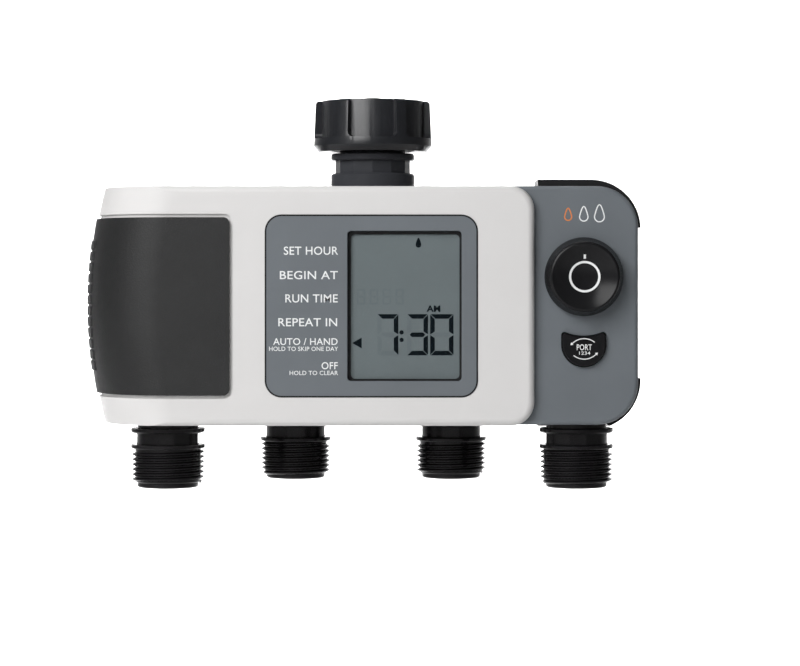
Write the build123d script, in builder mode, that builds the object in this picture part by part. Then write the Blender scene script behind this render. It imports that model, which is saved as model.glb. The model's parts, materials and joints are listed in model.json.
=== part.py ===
"""Four-outlet hose watering timer, in millimetres.

The origin is the centre of the tap seat, the top face of the inlet washer.
+X is to the right seen from the front, +Y is to the rear and +Z is up.
"""
from build123d import *
import math
import os

os.makedirs("parts", exist_ok=True)

# ---- casing ------------------------------------------------------------------
FRONT_Y = -48.0          # front face of the white casing
SPLIT_Y = 0.6            # half the gap between the front and rear halves, where the gasket lies
REAR_Y = 40.0            # rear face
TOP_Z = -21.6
BOTTOM_Z = -107.3
MID_Z = (TOP_Z + BOTTOM_Z) / 2
HEIGHT = TOP_Z - BOTTOM_Z
RIGHT_X = 58.2           # right side of the white casing
CORNER_R = 8.5
DRUM_X = 67.8            # axis of the drum that shapes the left end
DRUM_R = 172.0
DRUM_EDGE_X = 28.0       # half widths of the elliptic front edge of the drum
DRUM_EDGE_Y = 38.0
EDGE_R = 2.5
WALL = 2.2
FAR = 260.0              # beyond any part of the timer

# ---- grey control housing and black rear housing -----------------------------------
PANEL_FRONT_Y = -44.0
PANEL_RIGHT_X = 95.6
PANEL_TOP_Z = -21.5
PANEL_BOTTOM_Z = -107.1
PANEL_R = 15.0
PANEL_LEFT_X = 44.0
RIM = 3.3                # the rim of the rear housing stands out this much
RIM_FRONT_Y = -16.0
RIM_LEFT_X = 61.0
RIM_UPPER_END_Z = -35.9
RIM_LOWER_START_Z = -91.4
RIM_BOTTOM_Z = -109.0
RIM_REAR_Y = 8.0

# ---- display ---------------------------------------------------------------------
DISPLAY_HALF = 37.75
DISPLAY_TOP_Z = -32.1
DISPLAY_BOTTOM_Z = -96.8
DISPLAY_R = 5.7
DISPLAY_Z = (DISPLAY_TOP_Z + DISPLAY_BOTTOM_Z) / 2
DISPLAY_DEPTH = 0.9      # the facia sits in a recess this deep
LCD_LEFT_X = -8.2
LCD_RIGHT_X = 31.9
LCD_TOP_Z = -38.0
LCD_BOTTOM_Z = -90.9
LCD_PLACE = ((LCD_LEFT_X + LCD_RIGHT_X) / 2, (LCD_TOP_Z + LCD_BOTTOM_Z) / 2)
LCD_WIDTH = LCD_RIGHT_X - LCD_LEFT_X
LCD_HEIGHT = LCD_TOP_Z - LCD_BOTTOM_Z
BOARD_Y = FRONT_Y + 8.6  # rear face of the main board
BOARD_X = 8.0
BOARD_SCREWS = [(BOARD_X + 40 * sx, MID_Z + 30 * sz) for sx in (-1, 1) for sz in (-1, 1)]

# ---- battery drawer ----------------------------------------------------------------
COVER_RIGHT_X = -50.6
COVER_TOP_Z = -32.8
COVER_BOTTOM_Z = -96.4
COVER_REAR_Y = -4.0
COVER_PROUD = 0.7
COVER_CORNER_R = 2.2
COVER_GAP = 0.35         # between the cover and the recess floor
GRIPS = 12               # finger ribs on the left end of the cover
GRIP_PITCH = 4.0
GRIP_HEIGHT = 3.2
GRIP_PROUD = 0.5
RECESS_MARGIN = 1.2
RECESS_DEPTH = 0.8
TRAY_X = (-88.0, -54.5)
TRAY_Y = (-42.0, -9.5)
TRAY_Z = (-88.6, -34.6)
TRAY_WALL = 1.2
CELL_R = 7.05
CELL_LENGTH = 50.0
CELL_PITCH = 15.2

# ---- knob and button -----------------------------------------------------------------
KNOB_X = 75.9
KNOB_Z = -54.0
KNOB_R = 14.1
KNOB_DEPTH = 8.0
KNOB_DISH_DEPTH = 2.6
SHAFT_R = 3.0
SHAFT_IN_KNOB = 3.0
ENCODER_Y = -31.0        # rear face of the encoder body
KNOB_GAP = 1.5           # room behind the knob for its press travel
BUTTON_X = 76.0
BUTTON_TOP_Z = -73.4
BUTTON_BOTTOM_Z = -86.2
BUTTON_R = 7.8
BUTTON_DIP = 2.0         # how far the concave top edge dips
BUTTON_TIP_R = 1.2
SWITCH_Z = -80.0

# ---- inlet -----------------------------------------------------------------------------
NUT_TOP_Z = 11.5
NUT_BOTTOM_Z = -7.4
NUT_TOP_R = 21.35
NUT_MAX_R = 22.05
NUT_MAX_Z = -5.2
NUT_POCKETS = 6
POCKET_DEG = 49.0
POCKET_FLOOR_R = 19.0
POCKET_BOTTOM_Z = -2.5
POCKET_CORNER_R = 1.9
NUT_LIP_R = 12.5         # bore of the lip that turns under the neck's flange
NUT_LIP_TOP_Z = -5.0
INLET_MINOR_R = 15.146   # G1 female thread
INLET_MAJOR_R = 16.6245
INLET_PITCH = 2.309
INLET_TURNS = 5
INLET_LAST_CREST_Z = 0.65
NECK_FLANGE_R = 15.6
NECK_TOP_Z = -3.0        # face that the washer lies on
NECK_FLANGE_BOTTOM_Z = -24.6
NECK_GRIP_TOP_Z = -10.7
NECK_GRIP_BOTTOM_Z = -15.5
NECK_GRIP_R = 13.9
NECK_END_Z = -31.0
NECK_BORE_R = 7.4
WASHER_BORE_R = 11.6

# ---- outlets ---------------------------------------------------------------------------
OUTLET_X = (-74.6, -29.75, 29.75, 74.6)
OUTLET_Y = (-23.5, 23.5, 23.5, -23.5)
OUTLET_MINOR_R = 12.06   # G3/4 male thread
OUTLET_MAJOR_R = 13.22
OUTLET_PITCH = 1.814
OUTLET_CRESTS = 7
OUTLET_LAST_CREST_Z = -127.9
OUTLET_END_Z = -130.8
OUTLET_BORE_R = 7.5
OUTLET_FLANGE_R = 13.55
OUTLET_NECK_R = 11.5
OUTLET_TOP_Z = -99.4
OUTLET_GRIP_TOP_Z = -110.9
OUTLET_GRIP_BOTTOM_Z = -115.1

# ---- water body and valves ----------------------------------------------------------------
PIPE_Y = 7.0             # plane of the pipes, in the rear half
GALLERY_Z = -39.2
PIPE_R = 7.0
PIPE_BORE_R = 5.2
DROP_R = 6.6
DROP_BORE_R = 4.6
ELBOW_BORE_R = 4.3
VALVE_Z = -68.0
VALVE_R = 11.0
CHAMBER_Y = 12.0        # floor of the valve chambers
SEAT_R = 3.4
STUB_END_Z = -48.0
PORT_Z = -61.4
PORT_R = 1.6
ELBOW_Z = -98.0
ELBOW_R = 6.4
SOCKET_R = 11.0
SPIGOT_R = 9.0
SPIGOT_GAP = 0.2
GROOVE_DEPTH = 1.3       # O-ring groove
ORING_R = 0.68
ORING_MEAN_R = SPIGOT_R - 0.58
NECK_ORING_Z = -27.3
OUTLET_ORING_Z = -102.0
VALVE_FACE_Y = 18.0
COIL_REAR_Y = 35.0
PLUNGER_TRAVEL = 1.5

SCREW_PLACES = ((-92, -27.6), (-92, -100.8), (-46, -27.6), (-46, -101.6),
                (46.5, -27.6), (46.5, -101.6), (89.5, -34.6), (89.5, -94.0))
SCREW_BOSS_R = 3.3
SCREW_HOLE_R = 1.55
SCREW_R = 1.5
SCREW_HOLE_Y = -14.0     # where the screw holes end in the front bosses
SCREW_SEAT_Y = REAR_Y - 3
SCREW_TIP_Y = -12.0
SCREW_HEAD_R = SCREW_BOSS_R - 0.6
SLOT = (3.2, 0.7)        # arms of the cross slot


def facing_front(y):
    """A plane at depth y that faces the front, with X across and Z up."""
    return Plane(origin=(0, y, 0), x_dir=(1, 0, 0), z_dir=(0, -1, 0))


def save(piece, name):
    """Label a finished piece and write it to its own file."""
    piece.part.label = name
    export_step(piece.part, f"parts/{name}.step")


def slab(x0, x1, y0, y1, z0, z1):
    """A plain block between six planes, to cut or keep with."""
    centre = ((x0 + x1) / 2, (y0 + y1) / 2, (z0 + z1) / 2)
    return Pos(*centre) * Box(abs(x1 - x0), abs(y1 - y0), abs(z1 - z0), mode=Mode.PRIVATE)


def boss_cuts(places):
    """The screw holes of the front bosses."""
    with BuildPart() as holes:
        for x, z in places:
            with BuildSketch(facing_front(SCREW_HOLE_Y)):
                with Locations((x, z)):
                    Circle(SCREW_HOLE_R)
            extrude(amount=SCREW_HOLE_Y)
    return holes.part


def casing_solid(inset):
    """The full shape of the white casing, drawn in by inset on every outer side."""
    left = DRUM_X - DRUM_R - 4
    right = RIGHT_X - inset
    with BuildPart() as block:
        with BuildSketch(facing_front(FRONT_Y + inset)):
            with Locations(((left + right) / 2, MID_Z)):
                Rectangle(right - left, HEIGHT - 2 * inset)
        extrude(amount=-(REAR_Y - FRONT_Y))
        right_edges = block.edges().filter_by(Axis.Y).sort_by(Axis.X)[-2:]
        fillet(right_edges, CORNER_R - inset)
        fillet(block.faces().sort_by(Axis.Y)[0].edges(), EDGE_R)
        with BuildSketch(Plane.XY.offset(MID_Z), mode=Mode.PRIVATE) as profile:
            with BuildLine():
                edge_x = DRUM_X - DRUM_R + DRUM_EDGE_X
                edge_y = FRONT_Y + DRUM_EDGE_Y
                EllipticalCenterArc((edge_x, edge_y), DRUM_EDGE_X - inset, DRUM_EDGE_Y - inset,
                                    start_angle=180, arc_size=90)
                Polyline((edge_x, FRONT_Y + inset), (DRUM_X, FRONT_Y + inset), (DRUM_X, FAR),
                         (DRUM_X - DRUM_R + inset, FAR), (DRUM_X - DRUM_R + inset, edge_y))
            make_face()
        revolve(profile.sketch, axis=Axis((DRUM_X, 0, MID_Z), (0, 1, 0)),
                mode=Mode.INTERSECT)
    return block.part


def panel_solid(inset, front_y, rear_y, grow=0.0):
    """The rounded box of the grey housing, drawn in by inset or grown outwards."""
    left = PANEL_LEFT_X - grow
    right = PANEL_RIGHT_X - inset + grow
    top = PANEL_TOP_Z - inset + grow
    bottom = PANEL_BOTTOM_Z + inset - grow
    with BuildPart() as block:
        with BuildSketch(facing_front(front_y)):
            with Locations(((left + right) / 2, (top + bottom) / 2)):
                Rectangle(right - left, top - bottom)
        extrude(amount=-(rear_y - front_y))
        right_edges = block.edges().filter_by(Axis.Y).sort_by(Axis.X)[-2:]
        fillet(right_edges, PANEL_R - inset + grow)
    return block.part


def rear_outline(inset, front_y, rear_y):
    """A block with the timer's whole outline: the drum end and the grey housing's corners."""
    depth = slab(-FAR, FAR, front_y, rear_y, -FAR, FAR)
    drum_part = casing_solid(inset) & slab(-FAR, RIGHT_X - CORNER_R - WALL, front_y, rear_y, -FAR, FAR)
    return drum_part + (panel_solid(inset, front_y, rear_y) & depth)


def battery_opening(margin):
    """The path of the battery tray out through the left end."""
    return slab(-FAR, TRAY_X[1] + margin, TRAY_Y[0] - margin, TRAY_Y[1] + margin,
                TRAY_Z[0] - margin, TRAY_Z[1] + margin)


def cover_region(margin):
    """The block that the battery cover fills on the casing, with two rounded corners."""
    left = -FAR
    right = COVER_RIGHT_X + margin
    with BuildPart() as block:
        with BuildSketch(facing_front(-FAR)):
            with Locations(((left + right) / 2, (COVER_TOP_Z + COVER_BOTTOM_Z) / 2)):
                Rectangle(right - left, COVER_TOP_Z - COVER_BOTTOM_Z + 2 * margin)
        extrude(amount=-(COVER_REAR_Y + margin + FAR))
        right_edges = block.edges().filter_by(Axis.Y).sort_by(Axis.X)[-2:]
        fillet(right_edges, COVER_CORNER_R + margin)
    return block.part


def front_casing():
    """White front shell with the battery recess, display opening and screw bosses."""
    outer = casing_solid(0)
    recess = (outer - casing_solid(RECESS_DEPTH)) & cover_region(RECESS_MARGIN)
    with BuildPart() as piece:
        add(outer)
        add(casing_solid(WALL), mode=Mode.SUBTRACT)
        for x, z in SCREW_PLACES[:6]:
            with BuildSketch(facing_front(FRONT_Y + 1)):
                with Locations((x, z)):
                    Circle(SCREW_BOSS_R)
            extrude(amount=-(REAR_Y - FRONT_Y - 1))
        add(slab(-FAR, FAR, -SPLIT_Y, FAR, -FAR, FAR), mode=Mode.SUBTRACT)
        add(outer, mode=Mode.INTERSECT)
        add(recess, mode=Mode.SUBTRACT)
        add(battery_opening(0.7), mode=Mode.SUBTRACT)
        add(boss_cuts(SCREW_PLACES[:6]), mode=Mode.SUBTRACT)
        with BuildSketch(facing_front(FRONT_Y)):
            with Locations((0, DISPLAY_Z)):
                RectangleRounded(2 * DISPLAY_HALF + 0.6, DISPLAY_TOP_Z - DISPLAY_BOTTOM_Z + 0.6,
                                 DISPLAY_R + 0.3)
        extrude(amount=-DISPLAY_DEPTH, mode=Mode.SUBTRACT)
        with BuildSketch(facing_front(FRONT_Y)):
            with Locations(LCD_PLACE):
                RectangleRounded(LCD_WIDTH + 3, LCD_HEIGHT + 3, 2)
        extrude(amount=-5, mode=Mode.SUBTRACT)
        with Locations((0, 0, TOP_Z - 3)):
            Cylinder(NECK_FLANGE_R + 0.1, 12, mode=Mode.SUBTRACT)
        with Locations((OUTLET_X[0], OUTLET_Y[0], BOTTOM_Z)):
            Cylinder(OUTLET_NECK_R + 0.2, 8, mode=Mode.SUBTRACT)
    save(piece, "front_casing")


def control_housing():
    """Grey shell to the right of the white casing, with the knob and button openings."""
    with BuildPart() as piece:
        add(panel_solid(0, PANEL_FRONT_Y, -SPLIT_Y))
        fillet(piece.faces().sort_by(Axis.Y)[0].edges().sort_by(Axis.X)[1:], 1.6)
        add(panel_solid(WALL, PANEL_FRONT_Y + WALL, FAR), mode=Mode.SUBTRACT)
        add(casing_solid(-0.05), mode=Mode.SUBTRACT)
        for x, z in SCREW_PLACES[6:]:
            with BuildSketch(facing_front(PANEL_FRONT_Y + 1)):
                with Locations((x, z)):
                    Circle(SCREW_BOSS_R)
            extrude(amount=-(-SPLIT_Y - PANEL_FRONT_Y - 1))
        add(boss_cuts(SCREW_PLACES[6:]), mode=Mode.SUBTRACT)
        with BuildSketch(facing_front(PANEL_FRONT_Y)):
            with Locations((KNOB_X, KNOB_Z)):
                Circle(SHAFT_R + 2)
        extrude(amount=-6, mode=Mode.SUBTRACT)
        with BuildSketch(facing_front(PANEL_FRONT_Y)):
            add(button_outline(0.3))
        extrude(amount=-6, mode=Mode.SUBTRACT)
        with Locations((OUTLET_X[3], OUTLET_Y[3], BOTTOM_Z)):
            Cylinder(OUTLET_NECK_R + 0.2, 8, mode=Mode.SUBTRACT)
    save(piece, "control_housing")


def button_outline(grow):
    """Shield outline of the button: concave top, straight sides and a round bottom."""
    half = BUTTON_R + grow
    top = BUTTON_TOP_Z + grow
    shoulder = BUTTON_BOTTOM_Z + BUTTON_R
    with BuildSketch() as outline:
        with BuildLine():
            ThreePointArc((BUTTON_X - half, top), (BUTTON_X, top - BUTTON_DIP),
                          (BUTTON_X + half, top))
            Line((BUTTON_X + half, top), (BUTTON_X + half, shoulder))
            ThreePointArc((BUTTON_X + half, shoulder), (BUTTON_X, shoulder - half),
                          (BUTTON_X - half, shoulder))
            Line((BUTTON_X - half, shoulder), (BUTTON_X - half, top))
        make_face()
        fillet(outline.vertices().sort_by(Axis.Y)[-2:], BUTTON_TIP_R)
    return outline.sketch


def rear_housing():
    """Black rear shell with screw bosses and the raised rim at the right corners."""
    rim = panel_solid(0, RIM_FRONT_Y, RIM_REAR_Y, grow=RIM)
    rim = rim - panel_solid(-0.15, RIM_FRONT_Y - 1, SPLIT_Y)
    upper = slab(RIM_LEFT_X, FAR, -FAR, FAR, RIM_UPPER_END_Z, FAR)
    lower = slab(RIM_LEFT_X, FAR, -FAR, FAR, RIM_BOTTOM_Z, RIM_LOWER_START_Z)
    with BuildPart() as piece:
        add(rear_outline(0.3, SPLIT_Y, REAR_Y))
        fillet(piece.faces().sort_by(Axis.Y)[-1].edges(), 5)
        add(rim & upper)
        add(rim & lower)
        add(rear_outline(0.3 + WALL, -1, REAR_Y - WALL), mode=Mode.SUBTRACT)
        for x, z in SCREW_PLACES:
            with BuildSketch(facing_front(SPLIT_Y)):
                with Locations((x, z)):
                    Circle(SCREW_BOSS_R)
            extrude(amount=-(REAR_Y - SPLIT_Y - 1))
        for x, z in SCREW_PLACES:
            with BuildSketch(facing_front(0)):
                with Locations((x, z)):
                    Circle(SCREW_HOLE_R)
            extrude(amount=-(REAR_Y + 1), mode=Mode.SUBTRACT)
            with BuildSketch(facing_front(SCREW_SEAT_Y)):
                with Locations((x, z)):
                    Circle(SCREW_BOSS_R - 0.3)
            extrude(amount=-4, mode=Mode.SUBTRACT)
        with Locations((0, 0, TOP_Z - 3)):
            Cylinder(NECK_FLANGE_R + 0.1, 12, mode=Mode.SUBTRACT)
        for x, y in zip(OUTLET_X[1:], OUTLET_Y[1:]):
            with Locations((x, y, BOTTOM_Z)):
                Cylinder(OUTLET_NECK_R + 0.2, 8, mode=Mode.SUBTRACT)
    save(piece, "rear_housing")


def casing_gasket():
    """Flat seal between the front and rear halves."""
    with BuildPart() as piece:
        add(rear_outline(0.7, -SPLIT_Y, SPLIT_Y))
        add(rear_outline(2.1, -SPLIT_Y - 1, SPLIT_Y + 1), mode=Mode.SUBTRACT)
        with Locations((0, 0, TOP_Z - 3)):
            Cylinder(NECK_FLANGE_R + 0.1, 12, mode=Mode.SUBTRACT)
    save(piece, "casing_gasket")


def display_panel():
    """Thin grey facia around the display window."""
    with BuildPart() as piece:
        with BuildSketch(facing_front(FRONT_Y + DISPLAY_DEPTH)):
            with Locations((0, DISPLAY_Z)):
                RectangleRounded(2 * DISPLAY_HALF, DISPLAY_TOP_Z - DISPLAY_BOTTOM_Z, DISPLAY_R)
            with Locations(LCD_PLACE):
                RectangleRounded(LCD_WIDTH + 0.6, LCD_HEIGHT + 0.6, 1.3, mode=Mode.SUBTRACT)
        extrude(amount=DISPLAY_DEPTH + 0.1)
        chamfer(piece.faces().sort_by(Axis.Y)[0].edges(), 0.25)
    save(piece, "display_panel")


def lcd_parts():
    """Clear window, display module behind it and the circuit board that carries them."""
    with BuildPart() as window:
        with BuildSketch(facing_front(FRONT_Y + 1.3)):
            with Locations(LCD_PLACE):
                RectangleRounded(LCD_WIDTH, LCD_HEIGHT, 1)
        extrude(amount=0.9)
        with BuildSketch(facing_front(FRONT_Y + 2.1)):
            with Locations(LCD_PLACE):
                RectangleRounded(LCD_WIDTH + 2.4, LCD_HEIGHT + 2.4, 1.6)
        extrude(amount=0.8)
    save(window, "lcd_window")
    with BuildPart() as module:
        with BuildSketch(facing_front(FRONT_Y + 5)):
            with Locations(LCD_PLACE):
                Rectangle(LCD_WIDTH + 2, LCD_HEIGHT + 2)
        extrude(amount=2.8)
    save(module, "lcd_module")
    with BuildPart() as board:
        with BuildSketch(facing_front(BOARD_Y)):
            with Locations((BOARD_X, MID_Z)):
                Rectangle(86, 66)
            with Locations(*BOARD_SCREWS):
                Circle(1.3, mode=Mode.SUBTRACT)
        extrude(amount=1.6)
        with BuildSketch(facing_front(BOARD_Y)):
            with Locations((-18, MID_Z + 14), (-20, MID_Z - 16)):
                Rectangle(12, 12)
            with GridLocations(14, 9, 2, 3):
                with Locations((28, MID_Z)):
                    Rectangle(6, 4)
        extrude(amount=-2.0)
    save(board, "main_pcb")
    with BuildPart() as posts:
        with BuildSketch(facing_front(BOARD_Y + 2)):
            with Locations(*BOARD_SCREWS):
                Circle(2.4)
        extrude(amount=2)
        with BuildSketch(facing_front(BOARD_Y)):
            with Locations(*BOARD_SCREWS):
                Circle(1.2)
        extrude(amount=4)
    save(posts, "pcb_screws")


def pocket_cutter():
    """One finger pocket of the nut: a ring sector with rounded lower corners."""
    outer = NUT_MAX_R + 2
    half = math.radians(POCKET_DEG / 2)
    first = -90 - POCKET_DEG / 2
    with BuildPart() as cutter:
        with BuildSketch(Plane.XY.offset(POCKET_BOTTOM_Z)):
            with BuildLine():
                CenterArc((0, 0), POCKET_FLOOR_R, first, POCKET_DEG)
                CenterArc((0, 0), outer, first, POCKET_DEG)
                for side in (-1, 1):
                    Line((side * POCKET_FLOOR_R * math.sin(half), -POCKET_FLOOR_R * math.cos(half)),
                         (side * outer * math.sin(half), -outer * math.cos(half)))
            make_face()
        extrude(amount=NUT_TOP_Z - POCKET_BOTTOM_Z + 1)
        sides = cutter.edges().filter_by(GeomType.LINE).group_by(Axis.Z)[0]
        fillet(sides, POCKET_CORNER_R)
    return cutter.part


def inlet_nut():
    """Swivel nut: female G1 thread, six finger pockets and an inner lip that holds the neck."""
    relief = INLET_MAJOR_R + 0.1
    points = [(NUT_LIP_R, NUT_BOTTOM_Z), (20.2, NUT_BOTTOM_Z), (NUT_MAX_R, NUT_MAX_Z),
              (NUT_TOP_R, NUT_TOP_Z - 0.8), (NUT_TOP_R - 0.8, NUT_TOP_Z),
              (INLET_MAJOR_R + 0.4, NUT_TOP_Z)]
    for turn in range(INLET_TURNS):
        crest = INLET_PITCH * (INLET_TURNS - 1 - turn) + INLET_LAST_CREST_Z
        flank = 0.7 if turn < INLET_TURNS - 1 else 0.3
        points += [(INLET_MAJOR_R, crest + 0.9), (INLET_MINOR_R, crest + 0.2),
                   (INLET_MINOR_R, crest - 0.2), (INLET_MAJOR_R, crest - 0.2 - flank)]
    points += [(relief, -1), (relief, NUT_LIP_TOP_Z), (NUT_LIP_R, NUT_LIP_TOP_Z)]
    with BuildPart() as piece:
        with BuildSketch(Plane.XZ):
            with BuildLine():
                Polyline(*points, close=True)
            make_face()
        revolve(axis=Axis.Z)
        with PolarLocations(0, NUT_POCKETS):
            add(pocket_cutter(), mode=Mode.SUBTRACT)
    save(piece, "inlet_nut")


def spigot(end_z, groove_z, base_z):
    """Half profile of a plain spigot with an O-ring groove, from its end to its base."""
    side = math.copysign(1, base_z - end_z)
    groove_r = SPIGOT_R - GROOVE_DEPTH
    return [(SPIGOT_R, end_z), (SPIGOT_R, groove_z - side * 0.8), (groove_r, groove_z - side * 0.8),
            (groove_r, groove_z + side * 0.8), (SPIGOT_R, groove_z + side * 0.8), (SPIGOT_R, base_z)]


def inlet_neck():
    """Tap neck: seat flange, twelve-sided grip, casing flange and a spigot with an O-ring groove."""
    flange = NECK_FLANGE_R
    collar_top = NECK_GRIP_TOP_Z + 2.6
    points = [(0, NECK_END_Z), (SPIGOT_R - 0.2, NECK_END_Z)]
    points += spigot(NECK_END_Z + 1, NECK_ORING_Z, NECK_FLANGE_BOTTOM_Z)
    points += [(flange, NECK_FLANGE_BOTTOM_Z), (flange, NECK_GRIP_BOTTOM_Z - 0.6),
               (flange - 0.6, NECK_GRIP_BOTTOM_Z), (12, NECK_GRIP_BOTTOM_Z),
               (12, NECK_GRIP_TOP_Z), (flange - 0.5, NECK_GRIP_TOP_Z),
               (flange, NECK_GRIP_TOP_Z + 0.5), (flange, collar_top - 0.5),
               (flange - 0.5, collar_top), (12.15, collar_top), (12.15, -4.7), (16.1, -4.7),
               (16.1, NECK_TOP_Z), (0, NECK_TOP_Z)]
    with BuildPart() as piece:
        with BuildSketch(Plane.XZ):
            with BuildLine():
                Polyline(*points, close=True)
            make_face()
        revolve(axis=Axis.Z)
        with BuildSketch(Plane.XY.offset(NECK_GRIP_BOTTOM_Z)):
            RegularPolygon(NECK_GRIP_R, 12)
        extrude(amount=NECK_GRIP_TOP_Z - NECK_GRIP_BOTTOM_Z)
        add(upright(0, 0, NECK_BORE_R, 0, NECK_END_Z - 1), mode=Mode.SUBTRACT)
    save(piece, "inlet_neck")
    with BuildPart() as washer:
        with BuildSketch(Plane.XY.offset(NECK_TOP_Z)):
            Circle(16.2)
            Circle(WASHER_BORE_R, mode=Mode.SUBTRACT)
        extrude(amount=-NECK_TOP_Z)
    save(washer, "inlet_washer")
    with BuildPart() as strainer:
        with BuildSketch(Plane.XY.offset(NECK_TOP_Z)):
            Circle(WASHER_BORE_R - 0.1)
            Circle(8.6, mode=Mode.SUBTRACT)
        extrude(amount=2.6)
        with BuildSketch(Plane.XY.offset(NECK_TOP_Z + 0.8)):
            Circle(8.8)
        extrude(amount=0.8)
    save(strainer, "inlet_filter")
    with BuildPart() as oring:
        with Locations((0, 0, NECK_ORING_Z)):
            Torus(ORING_MEAN_R, ORING_R)
    save(oring, "inlet_oring")


def outlet_nipple(index):
    """Threaded hose nipple: spigot, two flanges, twelve-sided grip and male G3/4 thread."""
    x = OUTLET_X[index]
    y = OUTLET_Y[index]
    plane = Plane(origin=(x, y, 0), x_dir=(1, 0, 0), z_dir=(0, -1, 0))
    first_crest = OUTLET_LAST_CREST_Z + OUTLET_PITCH * (OUTLET_CRESTS - 1)
    flange = OUTLET_FLANGE_R
    neck = OUTLET_NECK_R - 0.3
    grip_top = OUTLET_GRIP_TOP_Z
    grip_bottom = OUTLET_GRIP_BOTTOM_Z
    end_r = OUTLET_MINOR_R - 0.8
    points = [(0, OUTLET_TOP_Z)]
    points += spigot(OUTLET_TOP_Z, OUTLET_ORING_Z, OUTLET_ORING_Z - 3.1)
    points += [(neck, OUTLET_ORING_Z - 3.1), (neck, grip_top + 1.7), (flange, grip_top + 1.7),
               (flange, grip_top + 0.5), (flange - 0.5, grip_top), (10.7, grip_top),
               (10.7, grip_bottom), (flange - 0.3, grip_bottom), (flange, grip_bottom - 0.3),
               (flange, grip_bottom - 1.5), (OUTLET_MINOR_R, grip_bottom - 1.5)]
    for crest in range(OUTLET_CRESTS):
        z = first_crest - crest * OUTLET_PITCH
        if crest:
            points.append((OUTLET_MINOR_R, z + 0.7))
        points += [(OUTLET_MAJOR_R, z + 0.2), (OUTLET_MAJOR_R, z - 0.2),
                   (OUTLET_MINOR_R, z - 0.7)]
    points += [(OUTLET_MINOR_R, OUTLET_END_Z + 1.8), (end_r, OUTLET_END_Z + 1.8),
               (end_r, OUTLET_END_Z), (0, OUTLET_END_Z)]
    with BuildPart() as piece:
        with BuildSketch(plane):
            with BuildLine():
                Polyline(*points, close=True)
            make_face()
        revolve(axis=Axis((x, y, 0), (0, 0, 1)))
        with BuildSketch(Plane(origin=(x, y, grip_bottom))):
            RegularPolygon(OUTLET_NECK_R, 12)
        extrude(amount=grip_top - grip_bottom)
        add(upright(x, y, OUTLET_BORE_R, OUTLET_TOP_Z + 1, OUTLET_END_Z - 1), mode=Mode.SUBTRACT)
    save(piece, f"outlet_nipple_{index + 1}")


def outlet_orings():
    """The four O-rings of the outlet nipples."""
    with BuildPart() as piece:
        for x, y in zip(OUTLET_X, OUTLET_Y):
            with Locations((x, y, OUTLET_ORING_Z)):
                Torus(ORING_MEAN_R, ORING_R)
    save(piece, "outlet_orings")


def upright(x, y, radius, z0, z1):
    """A round rod along Z, to add or to cut with."""
    with BuildPart() as rod:
        with BuildSketch(Plane.XY.offset(min(z0, z1))):
            with Locations((x, y)):
                Circle(radius)
        extrude(amount=abs(z1 - z0))
    return rod.part


def lengthwise(x, z, radius, y0, y1):
    """A round rod along Y, to add or to cut with."""
    with BuildPart() as rod:
        with BuildSketch(facing_front(max(y0, y1))):
            with Locations((x, z)):
                Circle(radius)
        extrude(amount=abs(y1 - y0))
    return rod.part


def gallery(radius, half_length):
    """A round rod along X at the gallery."""
    with BuildPart() as rod:
        with BuildSketch(Plane.YZ.offset(-half_length)):
            with Locations((PIPE_Y, GALLERY_Z)):
                Circle(radius)
        extrude(amount=2 * half_length)
    return rod.part


def inlet_gallery():
    """Water gallery: riser that takes the neck's spigot, cross pipe and four flat-ended stubs."""
    with BuildPart() as piece:
        add(gallery(PIPE_R, OUTLET_X[3] + PIPE_R))
        add(upright(0, 0, SOCKET_R, NECK_FLANGE_BOTTOM_Z - 0.2, GALLERY_Z - 2.3))
        for x in OUTLET_X:
            add(upright(x, PIPE_Y, DROP_R, GALLERY_Z, STUB_END_Z))
        add(upright(0, 0, SPIGOT_R + SPIGOT_GAP, NECK_FLANGE_BOTTOM_Z + 1, NECK_END_Z - 2),
            mode=Mode.SUBTRACT)
        add(gallery(PIPE_BORE_R, OUTLET_X[3] + 1.7), mode=Mode.SUBTRACT)
        for x in OUTLET_X:
            add(upright(x, PIPE_Y, DROP_BORE_R, GALLERY_Z, STUB_END_Z - 1), mode=Mode.SUBTRACT)
    save(piece, "inlet_gallery")


def valve_body(index):
    """One zone's water body: drop pipe, valve chamber with its seat, elbow and outlet socket."""
    x = OUTLET_X[index]
    y = OUTLET_Y[index]
    side = math.copysign(1, y - PIPE_Y)
    with BuildPart() as piece:
        add(upright(x, PIPE_Y, DROP_R, STUB_END_Z, ELBOW_Z - 1.5))
        add(lengthwise(x, VALVE_Z, VALVE_R, PIPE_Y + 0.5, VALVE_FACE_Y))
        add(lengthwise(x, ELBOW_Z, ELBOW_R, PIPE_Y - side * 5, y))
        add(upright(x, y, SOCKET_R, OUTLET_TOP_Z + 7.5, OUTLET_ORING_Z - 2.9))
        add(lengthwise(x, VALVE_Z, VALVE_R - 2, CHAMBER_Y + 2, VALVE_FACE_Y + 1), mode=Mode.SUBTRACT)
        add(upright(x, PIPE_Y, DROP_BORE_R, STUB_END_Z + 1, PORT_Z - 1.1), mode=Mode.SUBTRACT)
        add(lengthwise(x, PORT_Z, PORT_R, PIPE_Y + 1, CHAMBER_Y + 3), mode=Mode.SUBTRACT)
        add(lengthwise(x, VALVE_Z, SEAT_R, PIPE_Y + 1, CHAMBER_Y + 3), mode=Mode.SUBTRACT)
        add(upright(x, PIPE_Y, DROP_BORE_R, VALVE_Z + 0.7, ELBOW_Z + 0.9), mode=Mode.SUBTRACT)
        add(lengthwise(x, ELBOW_Z, ELBOW_BORE_R, PIPE_Y - side * 0.8, y - side * 1.3),
            mode=Mode.SUBTRACT)
        add(upright(x, y, SPIGOT_R + SPIGOT_GAP, OUTLET_TOP_Z + 0.3, OUTLET_ORING_Z - 4),
            mode=Mode.SUBTRACT)
    save(piece, f"valve_body_{index + 1}")


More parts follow.
